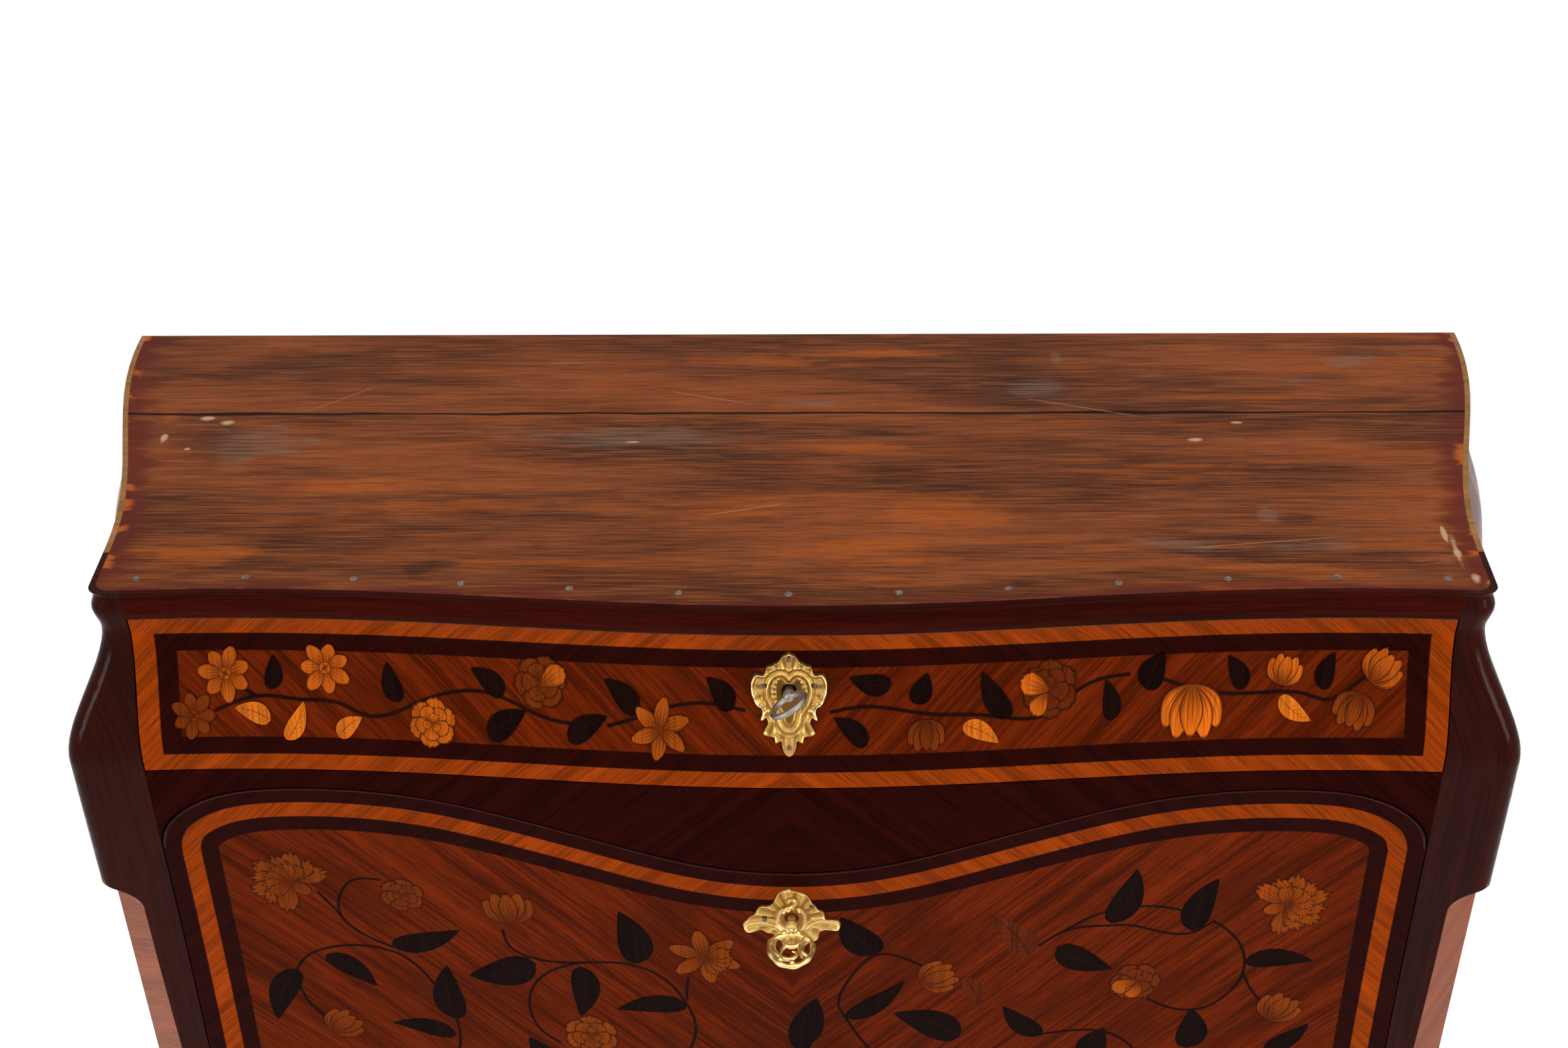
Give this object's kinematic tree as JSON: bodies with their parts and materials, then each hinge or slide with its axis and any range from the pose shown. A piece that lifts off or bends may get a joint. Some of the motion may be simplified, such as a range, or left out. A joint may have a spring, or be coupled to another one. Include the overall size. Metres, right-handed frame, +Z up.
{
  "type": "escritoire",
  "caption": "Bowed and swelling fall-front writing cabinet with a frieze drawer, a hinged leather-lined writing flap, pigeonholes, a two-door cupboard, locks and keys.",
  "frame": {"origin": "on the floor, under the middle of the bounding box", "axes": "+Z up, -Y is the front with the drawer, the fall and the doors, +X to the right seen from the front"},
  "size_m": [1.061, 0.4144, 1.4003],
  "materials": {
    "top_wood": "bare, worn, waxed",
    "iron": "rusted",
    "drawer_veneer": "French polish",
    "fall_veneer": "French polish",
    "door_veneer": "French polish",
    "dark_veneer": "French polish",
    "inner_veneer": "waxed",
    "gilt_bronze": "gilt, cast and chased",
    "old_steel": "aged",
    "lock_steel": "plain",
    "brass": "aged",
    "leather": "smooth",
    "oak": "bare"
  },
  "bodies": {
    "case": {"apron_rail": "dark_veneer", "back_panel_lower": "oak", "back_panel_upper": "oak", "cupboard_floor": "oak", "cupboard_shelf": "oak", "drawer_runners": "oak", "dust_board": "oak", "frieze_rail": "dark_veneer", "nest_drawer_dividers": "inner_veneer", "nest_pigeonhole_walls": "inner_veneer", "nest_shelf_high": "inner_veneer", "nest_shelf_low": "inner_veneer", "nest_shelf_top": "inner_veneer", "nest_sides": "inner_veneer", "side_left": "dark_veneer", "side_right": "dark_veneer", "stay_guides": "brass", "stile_front_left": "dark_veneer", "stile_front_right": "dark_veneer", "stile_rear_left": "oak", "stile_rear_right": "oak", "top_board_front": "top_wood", "top_board_rear": "top_wood", "top_front_rail": "dark_veneer", "top_nails": "iron", "waist_rail": "dark_veneer", "writing_deck": "inner_veneer"},
    "drawer": {"drawer_front": "drawer_veneer", "drawer_sides": "oak", "drawer_back": "oak", "drawer_bottom": "oak", "drawer_lock_case": "lock_steel", "drawer_escutcheon": "gilt_bronze", "drawer_escutcheon_pins": "iron"},
    "drawer_key": {"drawer_key": "old_steel"},
    "drawer_bolt": {"drawer_bolt": "lock_steel"},
    "fall": {"fall_panel": "fall_veneer", "fall_leather": "leather", "fall_lock_case": "lock_steel", "fall_escutcheon": "gilt_bronze", "fall_escutcheon_pins": "iron", "fall_pivots": "brass", "fall_stays": "brass"},
    "fall_key": {"fall_key": "gilt_bronze"},
    "fall_bolt": {"fall_bolt": "lock_steel"},
    "door_left": {"door_panel_left": "door_veneer", "door_pivots_left": "brass", "door_escutcheon_left": "gilt_bronze"},
    "door_right": {"door_panel_right": "door_veneer", "door_pivots_right": "brass", "door_escutcheon_right": "gilt_bronze", "door_lock_case": "lock_steel"},
    "door_key": {"door_key": "old_steel"},
    "door_bolt": {"door_bolt": "lock_steel"},
    "small_drawer_left": {"small_drawer_left": "inner_veneer", "small_drawer_left_knob": "brass"},
    "small_drawer_middle": {"small_drawer_middle": "inner_veneer", "small_drawer_middle_knob": "brass"},
    "small_drawer_right": {"small_drawer_right": "inner_veneer", "small_drawer_right_knob": "brass"}
  },
  "joints": [
    {"name": "drawer_slide", "type": "slide", "parent": "case", "child": "drawer", "axis": [0, -1, 0], "range_m": [0, 0.22]},
    {"name": "drawer_key_turn", "type": "hinge", "parent": "drawer", "child": "drawer_key", "pos_m": [0, -0.13925, 1.338], "axis": [0, -0.9659, 0.2588], "range_deg": [0, 180]},
    {"name": "drawer_bolt_slide", "type": "slide", "parent": "drawer", "child": "drawer_bolt", "axis": [0, 0, 1], "range_m": [0, 0.009]},
    {"name": "fall_hinge", "type": "hinge", "parent": "case", "child": "fall", "pos_m": [0, -0.144, 0.728], "axis": [1, 0, 0], "range_deg": [0, 90]},
    {"name": "fall_key_turn", "type": "hinge", "parent": "fall", "child": "fall_key", "pos_m": [0, -0.12675, 1.151], "axis": [0, -1, 0], "range_deg": [0, 180]},
    {"name": "fall_bolt_slide", "type": "slide", "parent": "fall", "child": "fall_bolt", "axis": [0, 0, 1], "range_m": [0, 0.009]},
    {"name": "door_left_hinge", "type": "hinge", "parent": "case", "child": "door_left", "pos_m": [-0.4265, -0.14786, 0.44], "axis": [0, 0, -1], "range_deg": [0, 90]},
    {"name": "door_right_hinge", "type": "hinge", "parent": "case", "child": "door_right", "pos_m": [0.4265, -0.14786, 0.44], "axis": [0, 0, 1], "range_deg": [0, 90]},
    {"name": "door_key_turn", "type": "hinge", "parent": "door_right", "child": "door_key", "pos_m": [0.03, -0.12675, 0.4395], "axis": [0, -1, 0], "range_deg": [0, 180]},
    {"name": "door_bolt_slide", "type": "slide", "parent": "door_right", "child": "door_bolt", "axis": [-1, 0, 0], "range_m": [0, 0.009]},
    {"name": "small_drawer_left_slide", "type": "slide", "parent": "case", "child": "small_drawer_left", "axis": [0, -1, 0], "range_m": [0, 0.036]},
    {"name": "small_drawer_middle_slide", "type": "slide", "parent": "case", "child": "small_drawer_middle", "axis": [0, -1, 0], "range_m": [0, 0.036]},
    {"name": "small_drawer_right_slide", "type": "slide", "parent": "case", "child": "small_drawer_right", "axis": [0, -1, 0], "range_m": [0, 0.036]}
  ],
  "couplings": [
    {"joint": "drawer_bolt_slide", "follows": "drawer_key_turn", "m_per_rad": 0.0028648},
    {"joint": "fall_bolt_slide", "follows": "fall_key_turn", "m_per_rad": 0.0028648},
    {"joint": "door_bolt_slide", "follows": "door_key_turn", "m_per_rad": 0.0028648}
  ]
}
